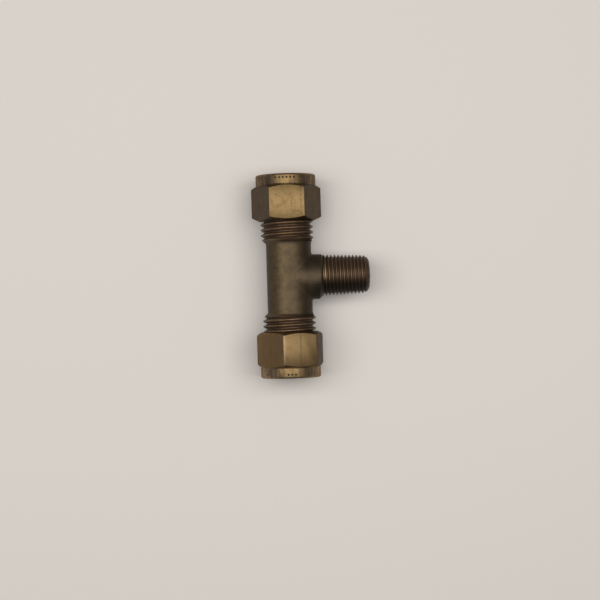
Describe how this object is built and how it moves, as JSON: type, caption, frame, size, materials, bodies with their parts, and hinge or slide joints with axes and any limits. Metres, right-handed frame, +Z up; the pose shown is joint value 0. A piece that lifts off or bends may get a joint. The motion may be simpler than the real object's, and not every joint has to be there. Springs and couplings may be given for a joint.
{
  "type": "compression tee fitting",
  "caption": "Brass compression tee: a forged body with a tube port and a hexagon nut at each end of its run, and a tapered male thread on its branch.",
  "frame": {"origin": "where the axes of the run and the branch cross, in the middle of the body", "axes": "+Y along the run towards the rear nut, +X along the branch towards its thread, +Z up from the surface that the fitting lies on"},
  "size_m": [0.0289, 0.0504, 0.017],
  "materials": {
    "forged_brass": "forged skin and cut threads, darkly tarnished",
    "nut_brass": "drawn hexagon bar with a turned collar, tarnished",
    "olive_brass": "turned and bright"
  },
  "bodies": {
    "tee": {"tee_body": "forged_brass"},
    "rear_ring": {"rear_olive": "olive_brass"},
    "rear_cap": {"rear_nut": "nut_brass"},
    "front_ring": {"front_olive": "olive_brass"},
    "front_cap": {"front_nut": "nut_brass"}
  },
  "joints": [
    {"name": "rear_nut_travel", "type": "slide", "parent": "tee", "child": "rear_ring", "axis": [0, 1, 0], "range_m": [0, 0.00401]},
    {"name": "rear_nut_turn", "type": "hinge", "parent": "rear_ring", "child": "rear_cap", "pos_m": [0, 0.0195, 0], "axis": [0, 1, 0], "range_deg": [0, 1080]},
    {"name": "front_nut_travel", "type": "slide", "parent": "tee", "child": "front_ring", "axis": [0, -1, 0], "range_m": [0, 0.00401]},
    {"name": "front_nut_turn", "type": "hinge", "parent": "front_ring", "child": "front_cap", "pos_m": [0, -0.0195, 0], "axis": [0, -1, 0], "range_deg": [0, 1080]}
  ],
  "couplings": [
    {"joint": "rear_nut_turn", "follows": "rear_nut_travel", "rad_per_m": 4699.5},
    {"joint": "front_nut_turn", "follows": "front_nut_travel", "rad_per_m": 4699.5}
  ]
}
